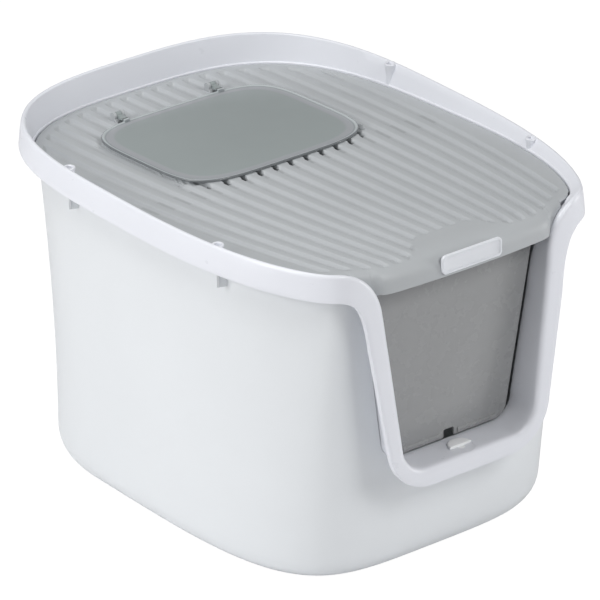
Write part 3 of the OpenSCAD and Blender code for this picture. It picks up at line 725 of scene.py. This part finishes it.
def lip_row(x):
    """One slice of the rolled front: over its outside with the ribs, and back along its inside."""
    front = lip_y(x)
    low = lip_low(x)
    top = lid_z(PANEL_Y)
    outside = []
    for k in range(ROLL_STEPS + 1):
        angle = math.radians(90 * k / ROLL_STEPS)
        y = PANEL_Y + (front - PANEL_Y) * math.sin(angle) ** ROLL_POWER
        z = low + (top - low) * max(0.0, math.cos(angle)) ** ROLL_POWER
        outside.append((x, y, z + rib_height(x, y)))
    inside = []
    for k in range(ROLL_STEPS - 2, 0, -2):
        angle = math.radians(90 * k / ROLL_STEPS)
        y = PANEL_Y + 1.6 + (front + 2.2 - PANEL_Y - 1.6) * math.sin(angle) ** ROLL_POWER
        z = max(low, low - 2.3 + (top - low) * math.cos(angle) ** ROLL_POWER)
        inside.append((x, y, z))
    lower_edge = [(x, front + 0.35, low), (x, front + 1.9, low)]
    return outside + lower_edge + inside + [(x, PANEL_Y, top - LID_THICK)]


def sheet(rows):
    """Faces between equal open rows of points."""
    size = len(rows[0])
    points = [tuple(p) for row in rows for p in row]
    faces = [(k * size + i, k * size + i + 1, (k + 1) * size + i + 1, (k + 1) * size + i)
             for k in range(len(rows) - 1) for i in range(size - 1)]
    return points, faces


def entry_outline(half_x, half_y, power, steps):
    """A rounded rectangle about the middle of the entry hole."""
    angle = 2 * np.pi * np.arange(steps) / steps
    radius = oval_radius(angle, half_x, half_y, half_y, power, power)
    return [(x, y) for x, y in zip(np.cos(angle) * radius, ENTRY_Y + np.sin(angle) * radius)]


def within(points, loop):
    """Which points lie inside a closed loop."""
    x1, y1 = np.array(loop)[:, :, None].transpose(1, 0, 2)
    x2, y2 = np.roll(x1, -1), np.roll(y1, -1)
    px, py = points[:, 0], points[:, 1]
    crossed = ((y1 > py) != (y2 > py)) & (px < (x2 - x1) * (py - y1) / (y2 - y1 + 1e-12) + x1)
    return crossed.sum(0) % 2 == 1


def close_to(points, loop, distance):
    """Which points lie nearer than distance to a loop's points."""
    nearest = np.full(len(points), FAR_OFF ** 2)
    for x, y in loop:
        nearest = np.minimum(nearest, (points[:, 0] - x) ** 2 + (points[:, 1] - y) ** 2)
    return nearest < distance ** 2


def filled(outer, hole, inner=(), inner_edges=()):
    """Points and triangles that fill a loop around a hole, through the inner points and edges."""
    points = [Vector((float(x), float(y))) for x, y in [*outer, *hole, *inner]]
    edges = [(i, (i + 1) % len(outer)) for i in range(len(outer))]
    edges += [(len(outer) + i, len(outer) + (i + 1) % len(hole)) for i in range(len(hole))]
    edges += [(len(outer) + len(hole) + a, len(outer) + len(hole) + b) for a, b in inner_edges]
    found, _, faces, *_ = delaunay_2d_cdt(points, edges, [], 0, 1e-5)
    found = np.array([[p.x, p.y] for p in found])
    middles = np.array([found[list(face)].mean(0) for face in faces])
    kept = within(middles, outer) & ~within(middles, hole)
    return found, [tuple(face) for face, keep in zip(faces, kept) if keep]


lid_grey = finish("lid_grey", (0.455, 0.475, 0.49), 0.46, 0.03, 0.16, 1100.0)
# Painted shade: the slots under the flap's front edge are darkened in the lid's colour where they sink
# deepest.
tree = lid_grey.node_tree
axes = object_axes(tree)
flat_top = maths(tree, "MULTIPLY_ADD", axes["Y"], -LID_TILT, LID_MIDDLE_Z / 1000)
off_slots = maths(tree, "ABSOLUTE", maths(tree, "SUBTRACT", axes["Y"], SLOT_Y / 1000))
slot_painted_shade = add_node(tree, "ShaderNodeMapRange", {
    "Value": maths(tree, "SUBTRACT", flat_top, axes["Z"]),
    "From Min": 0.0028,
    "From Max": 0.0046,
    "To Min": 0.0,
    "To Max": 0.68}).outputs["Result"]
at_slots = maths(tree, "LESS_THAN", off_slots, SLOT_HALF / 1000)
tint(lid_grey, maths(tree, "MULTIPLY", slot_painted_shade, at_slots), (0.05, 0.05, 0.05, 1), "MIX")

side_x, side_y = lid_side(np.linspace(-75, -45, 400), PANEL_EDGE).T
lip_end = float(np.interp(PANEL_Y, side_y, side_x))
right_xs = np.concatenate([np.linspace(0, 96, 88)[:-1], np.linspace(96, 108, 20)[:-1],
                           np.linspace(108, lip_end, 30)])
lip_xs = [float(x) for x in np.concatenate([-right_xs[::-1][:-1], right_xs])]
lip_rows = [lip_row(x) for x in lip_xs]
lip_points, lip_faces = sheet(lip_rows)
lip_faces.append(tuple(range(len(lip_rows[0]))))
lip_faces.append(tuple(range(len(lip_points) - 1, len(lip_points) - len(lip_rows[0]) - 1, -1)))

# The panel's triangles follow lanes along the ribs, with closer rows where the ribs change.
side_angles = np.linspace(-61, 241, 420)
side_angles = side_angles[lid_side(side_angles, PANEL_EDGE)[:, 1] > PANEL_Y + 0.05]
front_line = [(x, PANEL_Y) for x in lip_xs]
panel = [*lid_side(side_angles, PANEL_EDGE)] + front_line
hole = entry_outline(*HOLE_HALF, HOLE_POWER, steps=180)
grooves = range(-LAST_GROOVE - 1, LAST_GROOVE + 2)
lanes = [groove + share for groove in grooves for share in GROOVE_LANES]
rows = np.concatenate([np.arange(*band) for band in ROW_BANDS])
grid = np.array([(lane * RIB_PITCH * rib_spread(y), y, a, b)
                 for a, lane in enumerate(lanes) for b, y in enumerate(rows)])
grid = grid[within(grid, panel) & ~within(grid, hole)]
grid = grid[~close_to(grid, panel, 1.1) & ~close_to(grid, hole, 1.1)]
number = {(int(a), int(b)): k for k, (a, b) in enumerate(grid[:, 2:])}
lane_edges = [(k, number[a, b + 1]) for (a, b), k in number.items() if (a, b + 1) in number]
top_points, top_faces = filled(panel, hole, grid[:, :2], lane_edges)
top = ([(x, y, lid_z(y) + rib_height(x, y)) for x, y in top_points], top_faces)

edge_profile = [(PANEL_EDGE, 0.0), (0.42, -0.09), (0.12, -0.4), (0.0, -0.85), (0.0, 0.6 - LID_THICK),
                (0.5, -LID_THICK)]
edge_rows = [[(x, y, lid_z(y) + drop) for x, y in lid_side(side_angles, depth)]
             for depth, drop in edge_profile]
hole_rings = [[(x, y, lid_z(y) + rib_height(x, y)) for x, y in hole],
              [(x * 0.995, ENTRY_Y + (y - ENTRY_Y) * 0.995, lid_z(y) - 2.7) for x, y in hole],
              [(x, y, lid_z(y) - LID_THICK) for x, y in hole]]
under_points, under_faces = filled([(x, y) for x, y, z in edge_rows[-1]] + front_line, hole)
underside = ([(x, y, lid_z(y) - LID_THICK) for x, y in under_points], [face[::-1] for face in under_faces])
shapes = [top, sheet(edge_rows), (lip_points, lip_faces), loft(hole_rings, ends="open"), underside]
lid = add_mesh("lid_panel", together(shapes), lid_grey, 50, weld=0.02)
place(lid, "lid", "lid_grey", "lid")

lug_outline = [(4.0 * math.cos(a), 4.0 * math.sin(a)) for a in np.linspace(-0.35, math.pi + 0.35, 22)]
lug_outline += [(-7, -7.2), (7, -7.9)]
lug_steps = ((-1.5, 0.925), (-1.35, 0.98), (-1.05, 1.0), (1.05, 1.0), (1.35, 0.98), (1.5, 0.925))
rings = [[(across, y * size, z * size) for y, z in lug_outline] for across, size in lug_steps]
lug_places = [(side * LUG_X + beside, FLAP_PIN_Y, FLAP_PIN_Z) for side in (-1, 1) for beside in (-5, 5)]
lugs = add_mesh("lid_hinge_lugs", ([], []), lid_grey)
add_copies(lugs, add_mesh("one_lug", loft(rings), lid_grey), lug_places)
place(lugs, "lid", "lid_grey")

# Flap pins
# Two short steel rods with chamfered ends. Each is pressed through a pair of the lid's lugs and
# carries one of the flap's knuckles.
PIN_PROFILE = [(0.01, -5.85), (1.1, -5.85), (1.49, -5.45), (1.49, 5.45), (1.1, 5.85), (0.01, 5.85)]
for side, name in ((-1, "left"), (1, "right")):
    rod = turned(PIN_PROFILE, (side * LUG_X, FLAP_PIN_Y, FLAP_PIN_Z), "x", 28)
    pin = add_mesh("flap_pin_" + name + "_rod", rod, steel, 40)
    place(pin, "lid", "steel", "flap_pin_" + name)

# Top flap
# A moulded sheet of smoke-tinted plastic that lies on the ribs over the hole. A fine raised bead
# runs inside its rounded edge, and two knuckles at the back turn on the pins.
FLAP_LIFT = 0.35            # above the lid's flat top
FLAP_STEPS = [(0.02, 0.9), (0.5, 0.9), (0.86, 0.9), (0.9, 0.0), (0.992, 0.0), (0.998, 0.3), (1.0, 0.9),
              (1.0, 1.5), (0.998, 1.9), (0.993, 2.5), (0.986, 2.75), (0.978, 2.6), (0.972, 1.95),
              (0.965, 1.8), (0.9, 1.95), (0.8, 2.3), (0.6, 2.7), (0.4, 2.95), (0.2, 3.1), (0.02, 3.15)]
KNUCKLE_HALF = 3.1
KNUCKLE_PROFILE = [(1.58, -3.1), (3.2, -3.1), (3.5, -2.8), (3.5, 2.8), (3.2, 3.1), (1.58, 3.1),
                   (1.58, -3.1)]
KNUCKLE_TAB = [(-15.5, -1.4), (-2.6, -1.4), (-2.6, 1.2), (-15.5, 0.6)]
# Colours of the flap's painted light: lighter over the panel, a painted highlight on the bead, a painted
# shadow at the edge.
CLEAR = (0.97, 1.0, 1.0, 1)
PANEL_PAINTED_LIGHT = (1.12, 1.08, 1.14, 1)
EDGE_PAINTED_SHADOW = (0.42, 0.42, 0.44, 1)
FLAP_PAINTED_LIGHT = ((0.885, CLEAR), (0.91, PANEL_PAINTED_LIGHT), (0.955, PANEL_PAINTED_LIGHT), (0.965, (0.8, 0.8, 0.83, 1)),
              (0.975, (1.5, 1.5, 1.52, 1)), (0.988, (1.45, 1.45, 1.5, 1)), (0.993, EDGE_PAINTED_SHADOW),
              (1.004, EDGE_PAINTED_SHADOW), (1.02, CLEAR))
ZONE_SCALE = 0.9            # brings the outline's share of 1 inside the colour ramp

flap_smoke = finish("flap_smoke", (0.44, 0.475, 0.475), 0.2, 0.03, 0.05, 500.0, coat=0.4, alpha=0.70)
# Painted light on the sheet, by its share of the way from the middle to the outline: clear over the hole,
# painted lighter where the lit panel lies beneath it, a painted highlight on the bead and a painted shadow
# at its edge.
tree = flap_smoke.node_tree
axes = object_axes(tree)
from_middle = maths(tree, "SUBTRACT", axes["Y"], ENTRY_Y / 1000)
shares = []
for distance, half_size in ((axes["X"], FLAP_HALF[0]), (from_middle, FLAP_HALF[1])):
    share = maths(tree, "ABSOLUTE", maths(tree, "DIVIDE", distance, half_size / 1000))
    shares.append(maths(tree, "POWER", share, FLAP_POWER))
zone = maths(tree, "POWER", maths(tree, "ADD", *shares), 1 / FLAP_POWER)
painted_light_ramp = add_node(tree, "ShaderNodeValToRGB", {"Fac": maths(tree, "MULTIPLY", zone, ZONE_SCALE)})
for stop in painted_light_ramp.color_ramp.elements:
    stop.color = CLEAR
for position, colour in FLAP_PAINTED_LIGHT:
    painted_light_ramp.color_ramp.elements.new(position * ZONE_SCALE).color = colour
tint(flap_smoke, 1.0, painted_light_ramp.outputs["Color"], "MULTIPLY")

rings = []
for share, height in FLAP_STEPS:
    ring = entry_outline(FLAP_HALF[0] * share, FLAP_HALF[1] * share, FLAP_POWER, steps=200)
    rings.append([(x, y, lid_z(y) + FLAP_LIFT + height) for x, y in ring])
shapes = [loft(rings)]
for x in (-LUG_X, LUG_X):
    shapes.append(turned(KNUCKLE_PROFILE, (x, FLAP_PIN_Y, FLAP_PIN_Z), "x", 40))
    shapes.append(loft([[(x + across, FLAP_PIN_Y + y, FLAP_PIN_Z + z) for y, z in KNUCKLE_TAB]
                        for across in (-KNUCKLE_HALF, KNUCKLE_HALF)]))
flap = add_mesh("top_flap_sheet", together(shapes), flap_smoke, 40)
place(flap, "flap", "flap_smoke", "top_flap")

# Badge plate
# A small white plastic plate pressed onto the middle of the lip, with a raised rounded border
# and a bare field.
BADGE_Y = FRONT_Y - 3.8
BADGE_Z = lid_z(FRONT_Y) - 11.8
BADGE_STEPS = [(70, 18.6, 4.5, 0), (70, 18.6, 4.5, -2.4), (69.6, 18.2, 4.3, -2.85), (68.8, 17.4, 4.0, -3.0),
               (66.6, 15.2, 3.3, -3.0), (65.8, 14.4, 3.0, -2.8), (65.2, 13.8, 2.8, -2.3),
               (64.6, 13.2, 2.6, -2.1), (40, 8, 2.4, -2.1), (4, 3, 1.4, -2.1)]
BADGE_CORNER_STEPS = 14


def badge_ring(width, height, corner, forward):
    """The plate's outline with round corners, at a distance in front of the lip."""
    ring = []
    across = width / 2 - corner
    up = height / 2 - corner
    for turn, (x, z) in enumerate(((across, up), (-across, up), (-across, -up), (across, -up))):
        for k in range(BADGE_CORNER_STEPS):
            angle = math.radians(90 * turn + 90 * k / (BADGE_CORNER_STEPS - 1))
            height_here = BADGE_Z + z + corner * math.sin(angle)
            ring.append((x + corner * math.cos(angle), BADGE_Y + forward, height_here))
    return ring


badge_white = finish("badge_white", (0.76, 0.78, 0.82), 0.34, 0.012, 0.06, 800.0)
badge = add_mesh("badge_plate_bare", loft([badge_ring(*step) for step in BADGE_STEPS]), badge_white, 50)
place(badge, "lid", "badge_white", "badge_plate")

# Front door
# A moulded panel of smoke-tinted plastic that narrows downwards. It hangs from two stub pins in
# the frame's ears, and a bead stiffens its lower edge on both sides of the button's notch.
DOOR_LOW = 126.3
DOOR_BOTTOM_HALF = 67.5
DOOR_WIDEN = (97.4 - DOOR_BOTTOM_HALF) / (DOOR_PIN_Z - DOOR_LOW)
DOOR_CORNER = 14.0
DOOR_TOP = DOOR_PIN_Z + 5.2
DOOR_STEPS = [(0.9, -231.0), (0.28, -230.85), (0.0, -230.4), (0.0, -228.6), (0.28, -228.15), (0.9, -228.0)]
BEAD_Y = -230.9
BEAD_Z = DOOR_LOW + 3.9
BEAD_SPAN = (10.5, 55)
NECK_PROFILE = [(0.01, -4.6), (3.6, -4.6), (4.0, -4.2), (4.0, 4.2), (3.6, 4.6), (0.01, 4.6)]
STUB_PROFILE = [(0.01, -6), (2.5, -6), (2.5, 5.5), (2.1, 6), (0.01, 6)]
NECK_X = 90.6
STUB_X = 99.4


def door_ring(shrink, y):
    """The door's outline, drawn in by shrink: top corner, side, lower corner and notch, then mirrored."""
    lean = math.atan(DOOR_WIDEN)
    top_x = DOOR_BOTTOM_HALF + (DOOR_TOP - DOOR_LOW) * DOOR_WIDEN - shrink - 1.5
    top_z = DOOR_TOP - shrink - 1.5
    low_x = DOOR_BOTTOM_HALF + DOOR_CORNER * math.tan(lean) - DOOR_CORNER / math.cos(lean)
    low_z = DOOR_LOW + DOOR_CORNER
    radius = DOOR_CORNER - shrink
    half = [(top_x + 1.5 * math.sin(a), top_z + 1.5 * math.cos(a)) for a in np.linspace(0, math.pi / 2, 6)]
    half += [(low_x + radius * math.cos(a), low_z + radius * math.sin(a))
             for a in np.linspace(-lean, -math.pi / 2, 18)]
    notch = ((8.0 - shrink, 0.0), (6.6, 0.4), (6.0, 1.6), (6.0, 7.2), (5.0, 8.4))
    half += [(x + shrink, DOOR_LOW + shrink + up) for x, up in notch]
    return [(x, y, z) for x, z in half] + [(-x, y, z) for x, z in half[::-1]]


door_smoke = finish("door_smoke", (0.335, 0.34, 0.345), 0.26, 0.012, 0.02, 500.0, coat=0.3, alpha=0.90)
shapes = [loft([door_ring(*step) for step in DOOR_STEPS])]
for side in (-1, 1):
    bead = [(BEAD_Y - 0.95 * math.sin(a), BEAD_Z + 2.4 * math.cos(a)) for a in np.linspace(0, math.pi, 10)]
    shapes.append(loft([[(side * x, y, z) for y, z in bead] for x in np.linspace(*BEAD_SPAN, 3)]))
    shapes.append(turned(NECK_PROFILE, (side * NECK_X, DOOR_PIN_Y, DOOR_PIN_Z), "x", 40))
    shapes.append(turned(STUB_PROFILE, (side * STUB_X, DOOR_PIN_Y, DOOR_PIN_Z), "x", 40))
door = add_mesh("front_door_panel", together(shapes), door_smoke, 34)
place(door, "door", "door_smoke", "front_door")

# Turn button
# A half-round white plastic button in a round recess on the sill. Its shank goes down through the
# sill and snaps in below, so that it can turn.
BUTTON_RADIUS = 12.5
BUTTON_MIDDLE_Y = -243.5
BUTTON_STEPS = [(1, 123.5), (1, 125.1), (0.985, 125.5), (0.95, 125.8), (0.9, 125.9), (0.4, 125.9),
                (0.02, 125.9)]
SHANK_PROFILE = [(0.01, 118.7), (4.6, 118.7), (5.2, 119.3), (5.2, 120.3), (4.0, 120.5), (4.0, 123.3),
                 (3.8, 123.5), (0.01, 123.5)]


def button_ring(share, z):
    """The half-round outline, shrunk about the button's middle."""
    half = [(BUTTON_RADIUS * math.cos(a), BUTTON_Y + BUTTON_RADIUS * math.sin(a))
            for a in np.linspace(0, math.pi, 40)]
    half += [(x, BUTTON_Y) for x in np.linspace(-12, 12, 14)]
    return [(x * share, BUTTON_MIDDLE_Y + (y - BUTTON_MIDDLE_Y) * share, z) for x, y in half]


# The button's white is brighter than the rim's; this is partly painted light, standing in for the button
# lit against the shaded sill.
latch_white = finish("latch_white", (0.95, 0.96, 0.97), 0.34, 0.012, 0.06, 800.0)
shapes = [loft([button_ring(*step) for step in BUTTON_STEPS])]
shapes.append(turned(SHANK_PROFILE, (0, BUTTON_Y, 0), steps=40))
button = add_mesh("turn_button", together(shapes), latch_white, 36)
place(button, "latch", "latch_white", "door_latch")

# Floor, light and camera
# A plain white studio with five soft lamps. The floor and the world look white to the camera
# alone, and the floor keeps the shadow under the box. Lengths here are in metres.
FLOOR_HALF = 6
FLOOR_WHITE = 1.13
FLOOR_WHITE_SHARE = 0.86
WORLD_LIGHT = 0.23
LAMPS = (("key_top", (-0.8, 0.4, 2.1), (0, 0, 0.25), 1.3, 20),
         ("left_high", (-2.0, 0.1, 1.2), (0, 0, 0.2), 0.9, 15),
         ("left_low", (-1.5, 0.3, 0.12), (0, 0.05, 0.03), 0.6, 2.0),
         ("front_high", (0.3, -2.1, 2.0), (0, 0, 0.25), 0.9, 22),
         ("right_soft", (2.3, -1.7, 0.6), (0.1, -0.2, 0.15), 0.8, 19))
CAMERA_PLACE = (-2.8567, -3.6057, 2.4423)
CAMERA_RIGHT = (0.7830, -0.6220, 0.0)
CAMERA_FORWARD = (0.5581, 0.7025, -0.4416)
CAMERA_LENS = 323.2


def studio_floor():
    """A wide floor that is white to the camera, with part of its real shading left for the shadow."""
    mesh = bpy.data.meshes.new("floor")
    corners = [(-FLOOR_HALF, -FLOOR_HALF, 0), (FLOOR_HALF, -FLOOR_HALF, 0), (FLOOR_HALF, FLOOR_HALF, 0),
               (-FLOOR_HALF, FLOOR_HALF, 0)]
    mesh.from_pydata(corners, [], [(0, 1, 2, 3)])
    floor = bpy.data.objects.new("floor", mesh)
    bpy.context.scene.collection.objects.link(floor)
    material = bpy.data.materials.new("floor_white")
    material.use_nodes = True
    tree = material.node_tree
    tree.nodes.clear()
    to_camera = add_node(tree, "ShaderNodeLightPath").outputs["Is Camera Ray"]
    shaded = add_node(tree, "ShaderNodeBsdfDiffuse", {"Color": (0.86, 0.86, 0.87, 1)})
    white = add_node(tree, "ShaderNodeEmission", {"Color": (1, 1, 1, 1), "Strength": FLOOR_WHITE})
    mix = add_node(tree, "ShaderNodeMixShader", {
        0: maths(tree, "MULTIPLY", to_camera, FLOOR_WHITE_SHARE),
        1: shaded.outputs[0],
        2: white.outputs[0]})
    add_node(tree, "ShaderNodeOutputMaterial", {0: mix.outputs[0]})
    mesh.materials.append(material)


def area_lamp(name, stand, aim, size, power):
    """A square soft lamp that stands in one place and points at another."""
    light = bpy.data.lights.new(name, "AREA")
    light.shape = "SQUARE"
    light.size = size
    light.energy = power
    lamp = bpy.data.objects.new(name, light)
    lamp.location = stand
    lamp.rotation_mode = "QUATERNION"
    lamp.rotation_quaternion = (Vector(aim) - Vector(stand)).to_track_quat("-Z", "Y")
    bpy.context.scene.collection.objects.link(lamp)


studio_floor()
world = bpy.data.worlds.new("studio")
bpy.context.scene.world = world
world.use_nodes = True
tree = world.node_tree
background = tree.nodes["Background"]
background.inputs["Color"].default_value = (1, 1, 1, 1)
to_camera = add_node(tree, "ShaderNodeLightPath").outputs["Is Camera Ray"]
strength = add_node(tree, "ShaderNodeMapRange", {"Value": to_camera, "To Min": WORLD_LIGHT, "To Max": 1.0})
tree.links.new(strength.outputs["Result"], background.inputs["Strength"])
for lamp in LAMPS:
    area_lamp(*lamp)

lens = bpy.data.cameras.new("camera")
lens.sensor_width = 36.0
lens.lens = CAMERA_LENS
lens.clip_start = 0.1
lens.clip_end = 100
camera = bpy.data.objects.new("camera", lens)
bpy.context.scene.collection.objects.link(camera)
bpy.context.scene.camera = camera
right = Vector(CAMERA_RIGHT).normalized()
forward = Vector(CAMERA_FORWARD).normalized()
turn = Matrix((right, right.cross(forward), -forward)).transposed()
camera.matrix_world = Matrix.Translation(CAMERA_PLACE) @ turn.to_4x4()
bpy.context.scene.view_settings.view_transform = "Standard"
